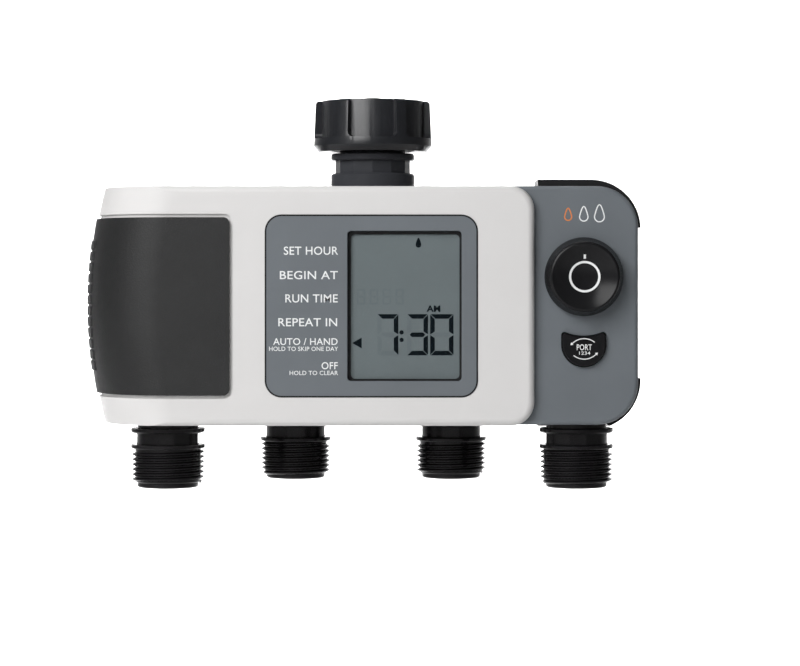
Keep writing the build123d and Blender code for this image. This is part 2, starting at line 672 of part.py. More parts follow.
def disc(x, radius, y0, y1, hole=0.0):
    """A round plate or tube along Y at the valve height, from depth y0 to y1."""
    with BuildPart() as piece:
        with BuildSketch(facing_front(y1)):
            with Locations((x, VALVE_Z)):
                Circle(radius)
                if hole:
                    Circle(hole, mode=Mode.SUBTRACT)
        extrude(amount=y1 - y0)
    return piece.part


def valve(index):
    """One zone's diaphragm, bonnet, solenoid coil and plunger."""
    x = OUTLET_X[index]
    face = VALVE_FACE_Y
    rear = COIL_REAR_Y
    with BuildPart() as diaphragm:
        add(disc(x, VALVE_R, face, face + 1.0))
        add(disc(x, 5.0, face - 2.5, face))
    save(diaphragm, f"valve_diaphragm_{index + 1}")
    with BuildPart() as bonnet:
        add(disc(x, VALVE_R + 0.6, face + 1.0, face + 3.0, 3.2))
        add(disc(x, 4.4, face + 3.0, rear - 1, 3.2))
        add(disc(x, 4.4, rear - 1, rear))
    save(bonnet, f"valve_bonnet_{index + 1}")
    with BuildPart() as coil:
        add(disc(x, 8.6, face + 3.4, face + 4.6, 4.5))
        add(disc(x, 7.6, face + 4.6, rear - 1.6, 4.5))
        add(disc(x, 8.6, rear - 1.6, rear - 0.4, 4.5))
    save(coil, f"solenoid_coil_{index + 1}")
    with BuildPart() as plunger:
        add(disc(x, 2.9, face + 1.3, rear - 1 - PLUNGER_TRAVEL - 2.4))
    save(plunger, f"solenoid_plunger_{index + 1}")


def battery_cover():
    """Curved battery cover with finger ribs outside and two tabs that hold the tray."""
    skin = casing_solid(-COVER_PROUD) - casing_solid(RECESS_DEPTH - COVER_GAP)
    tab_front = TRAY_Y[0] + 6
    with BuildPart() as piece:
        add(skin & cover_region(0))
        for tab_z in (TRAY_Z[0] + 8, TRAY_Z[1] - 12):
            add(slab(-FAR, TRAY_X[0], tab_front, tab_front + 20, tab_z, tab_z + 3)
                & casing_solid(0.1))
        ribs = casing_solid(-COVER_PROUD - GRIP_PROUD) - casing_solid(0)
        for rib in range(GRIPS):
            z = MID_Z + (rib - (GRIPS - 1) / 2) * GRIP_PITCH
            add(ribs & slab(-FAR, DRUM_X - DRUM_R + 6, -26, -7,
                            z - GRIP_HEIGHT / 2, z + GRIP_HEIGHT / 2))
    save(piece, "battery_cover")


def battery_drawer():
    """Battery tray with its contacts and four cells, and the bay that it slides in."""
    wall = TRAY_WALL
    middle_x = sum(TRAY_X) / 2
    middle_y = sum(TRAY_Y) / 2 + 0.4
    middle_z = sum(TRAY_Z) / 2
    with BuildPart() as tray:
        add(slab(*TRAY_X, *TRAY_Y, *TRAY_Z))
        add(slab(TRAY_X[0] + wall, TRAY_X[1] - wall, TRAY_Y[0] + wall, TRAY_Y[1] + 1,
                 TRAY_Z[0] + wall, TRAY_Z[1] - wall), mode=Mode.SUBTRACT)
    save(tray, "battery_tray")
    cell_places = [(middle_x + sx * CELL_PITCH / 2, middle_y + sy * CELL_PITCH / 2)
                   for sx in (-1, 1) for sy in (-1, 1)]
    for index, (x, y) in enumerate(cell_places):
        bottom = middle_z - CELL_LENGTH / 2
        with BuildPart() as battery:
            add(upright(x, y, CELL_R, bottom, bottom + CELL_LENGTH - 1))
            add(upright(x, y, 2.6, bottom + CELL_LENGTH - 1, bottom + CELL_LENGTH))
        save(battery, f"battery_cell_{index + 1}")
    with BuildPart() as contacts:
        for z in (TRAY_Z[0] + wall, TRAY_Z[1] - wall - 0.5):
            for sx in (-1, 1):
                x = middle_x + sx * CELL_PITCH / 2
                add(slab(x - 5, x + 5, TRAY_Y[0] + 3, TRAY_Y[1] - 3, z, z + 0.5))
    save(contacts, "battery_contacts")
    with BuildPart() as bay:
        add(slab(-FAR, TRAY_X[1] + 2, TRAY_Y[0] - 2, TRAY_Y[1] + 2, TRAY_Z[0] - 2, TRAY_Z[1] + 2))
        add(battery_opening(0.6), mode=Mode.SUBTRACT)
        add(casing_solid(WALL + 0.1), mode=Mode.INTERSECT)
    save(bay, "battery_bay")


def dial():
    """Dished knob on its shaft, the encoder it turns, and the press collar between them."""
    back = PANEL_FRONT_Y - KNOB_GAP
    front = PANEL_FRONT_Y - KNOB_DEPTH - 0.4
    with BuildPart() as knob:
        with BuildSketch(Plane.XY.offset(KNOB_Z)):
            with BuildLine():
                x = KNOB_X
                half_dish = KNOB_R - 2.5
                Line((x, back), (x + KNOB_R, back))
                Line((x + KNOB_R, back), (x + KNOB_R, back - 1.2))
                Line((x + KNOB_R, back - 1.2), (x + KNOB_R - 1.5, front + 1.0))
                ThreePointArc((x + KNOB_R - 1.5, front + 1.0), (x + KNOB_R - 1.9, front + 0.3),
                              (x + KNOB_R - 2.5, front))
                dish_r = (half_dish ** 2 + KNOB_DISH_DEPTH ** 2) / (2 * KNOB_DISH_DEPTH)
                bottom = front + KNOB_DISH_DEPTH
                middle = bottom - dish_r + math.sqrt(dish_r ** 2 - (half_dish / 2) ** 2)
                ThreePointArc((x + half_dish, front), (x + half_dish / 2, middle), (x, bottom))
                Line((x, bottom), (x, back))
            make_face()
        revolve(axis=Axis((KNOB_X, 0, KNOB_Z), (0, 1, 0)))
        add(lengthwise(KNOB_X, KNOB_Z, SHAFT_R + 0.05, back - SHAFT_IN_KNOB, back + 1),
            mode=Mode.SUBTRACT)
    save(knob, "dial_knob")
    with BuildPart() as shaft:
        add(lengthwise(KNOB_X, KNOB_Z, SHAFT_R, back - SHAFT_IN_KNOB + 0.1, ENCODER_Y - 2.6))
    save(shaft, "encoder_shaft")
    with BuildPart() as collar:
        add(lengthwise(KNOB_X, KNOB_Z, SHAFT_R + 1.4, ENCODER_Y - 12.5, ENCODER_Y - 3))
        add(lengthwise(KNOB_X, KNOB_Z, SHAFT_R + 0.06, ENCODER_Y - 13, ENCODER_Y), mode=Mode.SUBTRACT)
    save(collar, "encoder_plunger")
    with BuildPart() as body:
        with BuildSketch(facing_front(ENCODER_Y)):
            with Locations((KNOB_X, KNOB_Z)):
                RectangleRounded(15, 15, 1)
        extrude(amount=6.5)
        add(lengthwise(KNOB_X, KNOB_Z, SHAFT_R + 1.7, ENCODER_Y - 9, ENCODER_Y - 1.2),
            mode=Mode.SUBTRACT)
    save(body, "encoder_body")
    with BuildPart() as board:
        with BuildSketch(facing_front(ENCODER_Y + 1.6)):
            with Locations((KNOB_X, -68)):
                Rectangle(24, 44)
        extrude(amount=1.6)
    save(board, "control_pcb")


def zone_button():
    """Shield-shaped push button and the switch behind it."""
    back = PANEL_FRONT_Y + 6
    with BuildPart() as button:
        with BuildSketch(facing_front(back)):
            add(button_outline(0))
        extrude(amount=8)
        chamfer(button.faces().sort_by(Axis.Y)[0].edges(), 0.5)
        add(lengthwise(BUTTON_X, SWITCH_Z, 2, back, back + 1.8))
    save(button, "zone_button")
    with BuildPart() as switch:
        with BuildSketch(facing_front(ENCODER_Y)):
            with Locations((BUTTON_X, SWITCH_Z)):
                RectangleRounded(7, 7, 0.6)
        extrude(amount=3.5)
    save(switch, "zone_switch")


def screws():
    """The eight screws that close the housing from the rear."""
    head_y = SCREW_SEAT_Y + 2
    with BuildPart() as piece:
        for x, z in SCREW_PLACES:
            add(lengthwise(x, z, SCREW_HEAD_R, SCREW_SEAT_Y, head_y))
            add(lengthwise(x, z, SCREW_R, SCREW_TIP_Y, SCREW_SEAT_Y))
            with BuildSketch(facing_front(head_y)):
                with Locations((x, z)):
                    Rectangle(*SLOT)
                    Rectangle(*reversed(SLOT))
            extrude(amount=1, mode=Mode.SUBTRACT)
    save(piece, "housing_screws")


front_casing()
control_housing()
rear_housing()
casing_gasket()
display_panel()
lcd_parts()
inlet_nut()
inlet_neck()
for outlet in range(4):
    outlet_nipple(outlet)
    valve_body(outlet)
    valve(outlet)
outlet_orings()
inlet_gallery()
battery_cover()
battery_drawer()
dial()
zone_button()
screws()
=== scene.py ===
import json
import math

import bmesh
import bpy
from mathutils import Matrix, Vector


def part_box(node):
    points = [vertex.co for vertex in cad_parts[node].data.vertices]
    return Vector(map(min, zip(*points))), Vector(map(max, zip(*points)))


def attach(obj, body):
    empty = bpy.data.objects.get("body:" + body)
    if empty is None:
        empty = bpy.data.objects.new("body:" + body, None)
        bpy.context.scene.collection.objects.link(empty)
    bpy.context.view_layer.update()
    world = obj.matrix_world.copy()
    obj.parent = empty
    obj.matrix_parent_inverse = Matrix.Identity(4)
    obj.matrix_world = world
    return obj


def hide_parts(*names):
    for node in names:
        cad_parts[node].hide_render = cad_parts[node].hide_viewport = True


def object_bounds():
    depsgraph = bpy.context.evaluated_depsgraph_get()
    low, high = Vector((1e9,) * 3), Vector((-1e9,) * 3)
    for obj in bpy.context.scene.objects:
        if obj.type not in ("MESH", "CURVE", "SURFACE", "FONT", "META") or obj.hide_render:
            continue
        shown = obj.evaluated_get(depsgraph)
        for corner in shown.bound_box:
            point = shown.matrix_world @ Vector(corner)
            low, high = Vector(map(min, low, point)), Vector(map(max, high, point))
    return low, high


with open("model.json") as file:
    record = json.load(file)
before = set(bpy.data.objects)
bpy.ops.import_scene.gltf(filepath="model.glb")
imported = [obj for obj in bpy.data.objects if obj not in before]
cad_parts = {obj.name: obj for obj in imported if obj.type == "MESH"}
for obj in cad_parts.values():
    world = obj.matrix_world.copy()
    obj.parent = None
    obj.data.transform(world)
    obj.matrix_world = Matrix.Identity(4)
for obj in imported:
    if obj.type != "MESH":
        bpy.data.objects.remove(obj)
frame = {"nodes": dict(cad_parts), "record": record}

CAD_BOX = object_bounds()
MM = 0.001
PRINT = 0.03 * MM               # how far print stands proud

# sizes in millimetres
OUTLETS = 4
HALF_TURNED = (1, 3)            # outlets whose thread starts on the far side
THREAD_MINOR, THREAD_MAJOR, THREAD_PITCH = 12.06, 13.22, 1.814
THREAD_TOP = 14.2               # top of the threaded part above the nipple's end
KNOB_R, KNOB_HEIGHT = 14.1, 6.9
DISH_RIM, DISH_DEPTH = 11.6, 2.6    # radius and depth of the hollow in the dial
SHAFT_R = 3.05                  # bore in the back of the dial
DOME_TOP = 12.95                # height of the strainer's tip above the tap seat


# ---- materials -------------------------------------------------------------------------------

def plastic(name, color, rough=0.4, grain=0.0, grain_size=0.3, mottle=0.05, coat=0.0,
            specular=0.5, metallic=0.0):
    """Moulded surface: slow colour variation, uneven gloss and a fine grain.

    grain is the bump height in millimetres and grain_size its scale in millimetres.
    """
    mat = bpy.data.materials.new(name)
    mat.use_nodes = True
    nodes = mat.node_tree.nodes
    links = mat.node_tree.links
    bsdf = nodes["Principled BSDF"]
    bsdf.inputs["Metallic"].default_value = metallic
    bsdf.inputs["Specular IOR Level"].default_value = specular
    bsdf.inputs["Coat Weight"].default_value = coat
    bsdf.inputs["Coat Roughness"].default_value = 0.12
    place = nodes.new("ShaderNodeTexCoord")

    slow = nodes.new("ShaderNodeTexNoise")
    slow.inputs["Scale"].default_value = 45.0
    slow.inputs["Detail"].default_value = 5.0
    links.new(place.outputs["Object"], slow.inputs["Vector"])
    tint = nodes.new("ShaderNodeValToRGB")
    tint.color_ramp.elements[0].position = 0.3
    tint.color_ramp.elements[1].position = 0.7
    tint.color_ramp.elements[0].color = (*(c * (1 - mottle) for c in color), 1)
    tint.color_ramp.elements[1].color = (*(min(c * (1 + mottle), 1) for c in color), 1)
    links.new(slow.outputs["Fac"], tint.inputs["Fac"])
    links.new(tint.outputs["Color"], bsdf.inputs["Base Color"])

    gloss = nodes.new("ShaderNodeMapRange")
    gloss.inputs["To Min"].default_value = max(rough - 0.05, 0.02)
    gloss.inputs["To Max"].default_value = min(rough + 0.05, 1.0)
    smear = nodes.new("ShaderNodeTexNoise")
    smear.inputs["Scale"].default_value = 160.0
    smear.inputs["Detail"].default_value = 4.0
    links.new(place.outputs["Object"], smear.inputs["Vector"])
    links.new(smear.outputs["Fac"], gloss.inputs["Value"])
    links.new(gloss.outputs["Result"], bsdf.inputs["Roughness"])

    if grain:
        fine = nodes.new("ShaderNodeTexNoise")
        fine.inputs["Scale"].default_value = 1 / (grain_size * MM)
        fine.inputs["Detail"].default_value = 3.0
        links.new(place.outputs["Object"], fine.inputs["Vector"])
        bump = nodes.new("ShaderNodeBump")
        bump.inputs["Distance"].default_value = grain * MM
        bump.inputs["Strength"].default_value = 0.6
        links.new(fine.outputs["Fac"], bump.inputs["Height"])
        links.new(bump.outputs["Normal"], bsdf.inputs["Normal"])
    return mat


def window_glass():
    """Clear acrylic display window with faint dust in its gloss."""
    mat = plastic("window_glass", (0.02, 0.03, 0.03), rough=0.10, mottle=0.02, specular=0.15)
    bsdf = mat.node_tree.nodes["Principled BSDF"]
    bsdf.inputs["Alpha"].default_value = 0.05
    return mat


MATERIALS = {
    "white_plastic": plastic("white_plastic", (0.690, 0.680, 0.674), 0.36, 0.010, 0.35, 0.012,
                             specular=0.2),
    "grey_plastic": plastic("grey_plastic", (0.147, 0.163, 0.178), 0.42, 0.012, 0.30, 0.04,
                            specular=0.3),
    "black_plastic": plastic("black_plastic", (0.019, 0.019, 0.020), 0.35, 0.02, 0.4, 0.1,
                             specular=0.15),
    "dark_textured_plastic": plastic("dark_textured_plastic", (0.012, 0.0122, 0.0127), 0.56,
                                     0.160, 0.60, 0.15, specular=0.42),
    "seal_rubber": plastic("seal_rubber", (0.018, 0.018, 0.018), 0.75, 0.02, 0.3, 0.1),
    "filter_plastic": plastic("filter_plastic", (0.45, 0.45, 0.44), 0.5, 0.02, 0.3, 0.05),
    "nut_plastic": plastic("nut_plastic", (0.016, 0.017, 0.020), 0.30, 0.07, 0.40, 0.10,
                           specular=0.45),
    "neck_plastic": plastic("neck_plastic", (0.046, 0.048, 0.054), 0.30, 0.006, 0.4, 0.1,
                            specular=0.06),
    "water_body_plastic": plastic("water_body_plastic", (0.03, 0.03, 0.032), 0.5, 0.02, 0.4, 0.1),
    "window_glass": window_glass(),
    "lcd_face": plastic("lcd_face", (0.170, 0.200, 0.208), 0.5, 0.0, 0.12, 0.03, specular=0.1),
    "board": plastic("board", (0.010, 0.075, 0.030), 0.45, 0.02, 0.6, 0.2),
    "steel": plastic("steel", (0.55, 0.55, 0.56), 0.28, 0.006, 0.2, 0.06, metallic=1.0),
    "knob_plastic": plastic("knob_plastic", (0.010, 0.010, 0.011), 0.24, 0.0, 0.30, 0.08,
                            specular=0.17),
    "outlet_plastic": plastic("outlet_plastic", (0.0065, 0.006, 0.007), 0.22, 0.006, 0.8, 0.1,
                              specular=0.35),
    "coil": plastic("coil", (0.28, 0.10, 0.02), 0.4, 0.03, 0.35, 0.15),
    "cell": plastic("cell", (0.03, 0.05, 0.10), 0.25, 0.004, 0.5, 0.1, coat=0.4),
    "print_white": plastic("print_white", (0.82, 0.83, 0.83), 0.5, 0.004, 0.2, 0.03),
    "print_dark": plastic("print_dark", (0.002, 0.005, 0.008), 0.6, 0.0, 0.2, 0.05, specular=0.05),
    "print_orange": plastic("print_orange", (0.72, 0.22, 0.05), 0.5, 0.004, 0.2, 0.03),
    "print_ghost": plastic("print_ghost", (0.155, 0.184, 0.194), 0.5, 0.0, 0.2, 0.03,
                           specular=0.1),
}

# width in millimetres of the rounding that each visible CAD node gets on its sharp edges
SOFT_EDGES = {"front_casing": 0.25, "control_housing": 0.25, "rear_housing": 0.6,
              "battery_cover": 0.4, "inlet_nut": 0.5, "zone_button": 0.2,
              "battery_tray": 0.3}


def dress_nodes():
    """Give every CAD node its slot's material and soften the edges of the nodes listed in
    SOFT_EDGES.
    """
    slots = {s["node"]: s["material_slot"] for s in frame["record"]["subparts"]}
    for name, node in frame["nodes"].items():
        node.data.materials.clear()
        node.data.materials.append(MATERIALS[slots[name]])
    for name, width in SOFT_EDGES.items():
        bevel(name, width)


def bevel(node, width, segments=3):
    """Round the sharp edges of a CAD node a little, as moulded ones are."""
    obj = frame["nodes"][node]
    weld = obj.modifiers.new("weld", "WELD")
    weld.merge_threshold = 0.002 * MM
    mod = obj.modifiers.new("soft_edges", "BEVEL")
    mod.width = width * MM
    mod.segments = segments
    mod.limit_method = "ANGLE"
    mod.angle_limit = math.radians(38)
    mod.harden_normals = True


# ---- mesh helpers ------------------------------------------------------------------------------

def piece(name, bm, body, slot, smooth=True, material=None):
    """Turn a bmesh into a piece that rides a body and takes a slot's material."""
    bmesh.ops.recalc_face_normals(bm, faces=bm.faces)
    mesh = bpy.data.meshes.new(name)
    bm.to_mesh(mesh)
    bm.free()
    mesh.materials.append(MATERIALS[material or slot])
    for face in mesh.polygons:
        face.use_smooth = smooth
    obj = bpy.data.objects.new(name, mesh)
    bpy.context.scene.collection.objects.link(obj)
    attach(obj, body)
    return obj


def sharpen(obj, degrees=32):
    """Keep edges steeper than this sharp under smooth shading."""
    obj.data.set_sharp_from_angle(angle=math.radians(degrees))


def lathe(bm, profile, centre, steps=128):
    """A surface of revolution about a vertical axis through centre.

    profile lists (radius, height) in millimetres.
    """
    rings = []
    for step in range(steps):
        angle = 2 * math.pi * step / steps
        rings.append([bm.verts.new((centre[0] + radius * MM * math.cos(angle),
                                    centre[1] + radius * MM * math.sin(angle),
                                    centre[2] + height * MM)) for radius, height in profile])
    for step in range(steps):
        here = rings[step]
        after = rings[(step + 1) % steps]
        for k in range(len(profile) - 1):
            bm.faces.new((here[k], after[k], after[k + 1], here[k + 1]))


def plate(bm, outline, y_front, depth):
    """A flat plate from an outline of (x, z) points in metres, front at y_front."""
    front = [bm.verts.new((x, y_front, z)) for x, z in outline]
    back = [bm.verts.new((x, y_front + depth, z)) for x, z in outline]
    bm.faces.new(front)
    bm.faces.new(back[::-1])
    for k in range(len(outline)):
        n = (k + 1) % len(outline)
        bm.faces.new((front[k], back[k], back[n], front[n]))


def band(bm, line, width, y_front, depth, closed=False):
    """A stroke of constant width along (x, z) points in metres."""
    half = width / 2
    count = len(line)
    sides = []
    for k, point in enumerate(line):
        before = line[k - 1] if closed or k else line[0]
        after = line[(k + 1) % count] if closed or k < count - 1 else line[-1]
        run = Vector((after[0] - before[0], after[1] - before[1])).normalized()
        out = Vector((-run[1], run[0])) * half
        sides.append(((point[0] + out[0], point[1] + out[1]),
                      (point[0] - out[0], point[1] - out[1])))
    for k in range(count if closed else count - 1):
        a = sides[k]
        b = sides[(k + 1) % count]
        plate(bm, [a[0], a[1], b[1], b[0]], y_front, depth)


def rounded_outline(low, high, radius, grow=0.0, steps=10):
    """Points around a rectangle with round corners, seen from the front."""
    line = []
    for corner, (sx, sz) in enumerate(((1, 1), (-1, 1), (-1, -1), (1, -1))):
        cx = (high.x - radius) if sx > 0 else (low.x + radius)
        cz = (high.z - radius) if sz > 0 else (low.z + radius)
        for k in range(steps + 1):
            a = math.pi / 2 * (corner + k / steps)
            line.append((cx + (radius + grow) * math.cos(a), cz + (radius + grow) * math.sin(a)))
    return line


def collar(bm, inner, outer, y_front, depth):
    """A flat ring between two outlines with the same number of points."""
    rows = [[bm.verts.new((x, y, z)) for x, z in line]
            for line, y in ((inner, y_front), (outer, y_front), (outer, y_front + depth),
                            (inner, y_front + depth))]
    count = len(inner)
    for k in range(count):
        n = (k + 1) % count
        for r in range(4):
            after = rows[(r + 1) % 4]
            bm.faces.new((rows[r][k], rows[r][n], after[n], after[k]))


# ---- turned and threaded parts -----------------------------------------------------------------

def thread_surface(bm, centre, minor, major, pitch, z_top, turns, flat, start, steps=96):
    """A right-handed helical ridge around a vertical core, tapering out at both ends."""
    rows = []
    total = int(turns * steps)
    for k in range(total + 1):
        turn = k / steps
        angle = 2 * math.pi * turn + start
        ease = min(1.0, turn / 0.18, (turns - turn) / 0.18)
        crest = minor + (major - minor) * max(ease, 0.02)
        z = z_top - pitch * turn
        section = ((minor, z + pitch * 0.40), (crest, z + flat / 2), (crest, z - flat / 2),
                   (minor, z - pitch * 0.40))
        rows.append([bm.verts.new((centre[0] + r * MM * math.cos(-angle),
                                   centre[1] + r * MM * math.sin(-angle),
                                   centre[2] + h * MM)) for r, h in section])
    for here, after in zip(rows, rows[1:]):
        for k in range(3):
            bm.faces.new((here[k], here[k + 1], after[k + 1], after[k]))
    bm.faces.new(rows[0])
    bm.faces.new(rows[-1][::-1])


def outlet_pieces():
    """Male hose nipples with a true helical thread, one for each outlet."""
    top = THREAD_TOP
    threaded_part = [(7.5, 6.0), (7.5, 0.35), (7.9, 0.0), (10.7, 0.0), (11.25, 0.5),
                     (11.25, 1.6), (11.7, 1.9), (THREAD_MINOR, 2.2), (THREAD_MINOR, top),
                     (13.25, top), (13.55, top + 0.3), (13.55, top + 1.2), (13.25, top + 1.5),
                     (11.1, top + 1.55)]
    upper_flange = [(10.8, top + 5.7), (13.05, top + 5.7), (13.55, top + 6.2),
                    (13.55, top + 7.2), (13.3, top + 7.4), (11.2, top + 7.4),
                    (11.2, top + 11.5)]
    bore = [(7.5, 6.0), (7.5, top + 16.0), (9.0, top + 17.2), (9.0, top + 11.5),
            (11.2, top + 11.5)]
    for number in range(1, OUTLETS + 1):
        node = f"outlet_nipple_{number}"
        low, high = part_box(node)
        centre = ((low.x + high.x) / 2, (low.y + high.y) / 2, low.z)
        bm = bmesh.new()
        lathe(bm, threaded_part, centre)
        start = math.pi if number in HALF_TURNED else 0.0
        thread_surface(bm, centre, THREAD_MINOR - 0.02, THREAD_MAJOR, THREAD_PITCH,
                       top - 0.35, 6.55, 0.42, start)
        twelve_sides(bm, centre, 11.5, top + 1.5, top + 5.8)
        lathe(bm, upper_flange, centre)
        lathe(bm, bore, centre)
        obj = piece(f"threaded_outlet_{number}", bm, "housing", "outlet_plastic")
        sharpen(obj, 30)
        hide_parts(node)


def twelve_sides(bm, centre, corner, z0, z1):
    """The twelve-sided grip between two flanges."""
    rings = [[bm.verts.new((centre[0] + corner * MM * math.cos(math.radians(a)),
                            centre[1] + corner * MM * math.sin(math.radians(a)),
                            centre[2] + z * MM)) for a in range(15, 375, 30)]
             for z in (z0, z1)]
    for k in range(12):
        n = (k + 1) % 12
        bm.faces.new((rings[0][k], rings[0][n], rings[1][n], rings[1][k]))


def strainer_dome():
    """Domed mesh strainer with crossed ribs, which stands up through the tap seat."""
    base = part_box("inlet_filter")[1].z
    top = DOME_TOP * MM
    bm = bmesh.new()
    lathe(bm, [(8.6, 0), (8.6, -2.6), (11.5, -2.6), (11.5, 0), (8.6, 0)], (0, 0, base), 96)
    rings, spokes = 9, 24
    wire = 0.28 * MM

    def dome(share):
        angle = share * math.pi / 2
        return 8.4 * MM * math.cos(angle) ** 0.8, base + (top - base) * math.sin(angle) ** 1.15

    def tube(points, closed):
        count = len(points)
        loops = []
        for k, point in enumerate(points):
            ahead = points[(k + 1) % count] if closed or k < count - 1 else point
            behind = points[k - 1] if closed or k else point
            run = (ahead - behind).normalized()
            side = run.cross(Vector((0, 0, 1)))
            side = side.normalized() if side.length > 1e-6 else Vector((1, 0, 0))
            up = side.cross(run)
            loops.append([bm.verts.new(point + wire * (side * math.cos(a) + up * math.sin(a)))
                          for a in (0.8, 2.4, 3.9, 5.5)])
        for k in range(count if closed else count - 1):
            here = loops[k]
            after = loops[(k + 1) % count]
            for c in range(4):
                n = (c + 1) % 4
                bm.faces.new((here[c], here[n], after[n], after[c]))

    for ring in range(rings):
        radius, height = dome(ring / rings)
        tube([Vector((radius * math.cos(a * math.pi / 24), radius * math.sin(a * math.pi / 24),
                      height)) for a in range(48)], True)
    for spoke in range(spokes):
        turn = 2 * math.pi * spoke / spokes
        line = [dome(k / 12) for k in range(12)]
        tube([Vector((r * math.cos(turn), r * math.sin(turn), h)) for r, h in line], False)
    tip_r, tip_z = dome(0.80)
    tip_r, tip_height = tip_r / MM, (top - tip_z) / MM
    lathe(bm, [(tip_r + 0.3, 0), (tip_r, tip_height * 0.7), (1.4, tip_height * 0.97),
               (0.02, tip_height)], (0, 0, tip_z), 48)
    obj = piece("strainer", bm, "housing", "filter_plastic")
    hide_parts("inlet_filter")


def dish_rise(from_axis):
    """Height of the dial's hollow above its lowest point, both in millimetres."""
    sphere_r = (DISH_RIM ** 2 + DISH_DEPTH ** 2) / (2 * DISH_DEPTH)
    return sphere_r - math.sqrt(sphere_r ** 2 - from_axis ** 2)


def turned_knob():
    """The dial's knob as one smooth turned shape, drawn about the dial's axis."""
    low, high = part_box("dial_knob")
    back = [(SHAFT_R, 3.0), (SHAFT_R, 0.0), (KNOB_R - 0.4, 0.0), (KNOB_R, 0.4), (KNOB_R, 1.2)]
    flank = [(KNOB_R - 1.5 * k / 6, 1.2 + 4.7 * k / 6) for k in range(7)]
    crest = [(12.5, 6.35), (12.25, 6.65), (11.95, 6.83), (DISH_RIM, KNOB_HEIGHT)]
    dish = [(r, KNOB_HEIGHT - DISH_DEPTH + dish_rise(r))
            for r in (DISH_RIM * k / 16 for k in range(15, 0, -1))]
    bm = bmesh.new()
    lathe(bm, back, (0, 0, 0))
    lathe(bm, flank + crest + dish, (0, 0, 0))
    bmesh.ops.remove_doubles(bm, verts=bm.verts, dist=0.001 * MM)
    bmesh.ops.holes_fill(bm, edges=bm.edges, sides=0)
    for vert in bm.verts:
        across, up, out = vert.co
        vert.co = ((low.x + high.x) / 2 + across, high.y - out, (low.z + high.z) / 2 + up)
    obj = piece("turned_knob", bm, "dial", "knob_plastic")
    sharpen(obj, 28)
    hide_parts("dial_knob")


# ---- printing and painted shade ----------------------------------------------------------------

def lettering(name, words, size, width, right=None, centre=None, z=0.0, y=0.0, body="housing",
              material="print_white", weight=0.012):
    """Raised print in a plain face of that cap height and width, ended at right or centred."""
    curve = bpy.data.curves.new(name, "FONT")
    curve.body = words
    curve.size = size / 0.70
    curve.offset = size * weight
    curve.space_character = 1.04
    curve.align_x = "RIGHT" if right is not None else "CENTER"
    curve.extrude = PRINT
    curve.resolution_u = 4
    temp = bpy.data.objects.new(name + "_curve", curve)
    bpy.context.scene.collection.objects.link(temp)
    graph = bpy.context.evaluated_depsgraph_get()
    mesh = bpy.data.meshes.new_from_object(temp.evaluated_get(graph))
    bpy.data.objects.remove(temp)
    x = right if right is not None else centre
    span = [vert.co.x for vert in mesh.vertices]
    stretch = width / (max(span) - min(span))
    for vert in mesh.vertices:
        vert.co = (x + vert.co.x * stretch, y - vert.co.z, z - size / 2 + vert.co.y)
    mesh.materials.clear()
    mesh.materials.append(MATERIALS[material])
    obj = bpy.data.objects.new(name, mesh)
    bpy.context.scene.collection.objects.link(obj)
    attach(obj, body)


def panel_print():
    """Setting names down the left of the display panel."""
    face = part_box("display_panel")[0].y - 0.02 * MM
    right = -11.9 * MM
    rows = (("clock", "SET HOUR", -44.7, 2.9, 19.4), ("start", "BEGIN AT", -53.4, 2.9, 20.7),
            ("length", "RUN TIME", -61.7, 2.9, 18.7), ("every", "REPEAT IN", -70.2, 2.9, 21.0),
            ("mode", "AUTO / HAND", -77.1, 2.4, 23.0),
            ("mode_note", "HOLD TO SKIP ONE DAY", -79.7, 1.5, 24.6),
            ("off", "OFF", -85.7, 2.5, 5.8), ("off_note", "HOLD TO CLEAR", -88.3, 1.5, 17.3))
    for name, words, z, cap, width in rows:
        lettering(f"label_{name}", words, cap * MM, width * MM, right=right, z=z * MM, y=face)


DIGIT_BARS = {"0": "abcdef", "3": "abcdg", "7": "abc", "8": "abcdefg"}


def digit(bm, bars, x, z, width, height, y, thick):
    """A seven-segment figure with mitred bars, its lower left corner at x, z."""
    gap = thick * 0.10
    half = thick / 2
    right = x + width
    top = z + height
    middle = z + height / 2

    def upright_bar(edge, inward, outer_z, side):
        return [(edge, outer_z - side * gap), (edge, middle + side * gap),
                (edge + inward * half, middle + side * (gap + half * 0.6)),
                (edge + inward * thick, middle + side * (gap + half * 1.3)),
                (edge + inward * thick, outer_z - side * (gap + thick))]

    def level_bar(outer_z, inward):
        return [(x + gap, outer_z), (right - gap, outer_z),
                (right - gap - thick, outer_z + inward * thick),
                (x + gap + thick, outer_z + inward * thick)]

    outlines = {
        "a": level_bar(top, -1), "d": level_bar(z, 1),
        "f": upright_bar(x, 1, top, 1), "b": upright_bar(right, -1, top, 1),
        "e": upright_bar(x, 1, z, -1), "c": upright_bar(right, -1, z, -1),
        "g": [(x + gap + half, middle), (x + gap + thick, middle + half),
              (right - gap - thick, middle + half), (right - gap - half, middle),
              (right - gap - thick, middle - half), (x + gap + thick, middle - half)],
    }
    for bar in bars:
        plate(bm, outlines[bar], y, 0.04 * MM)


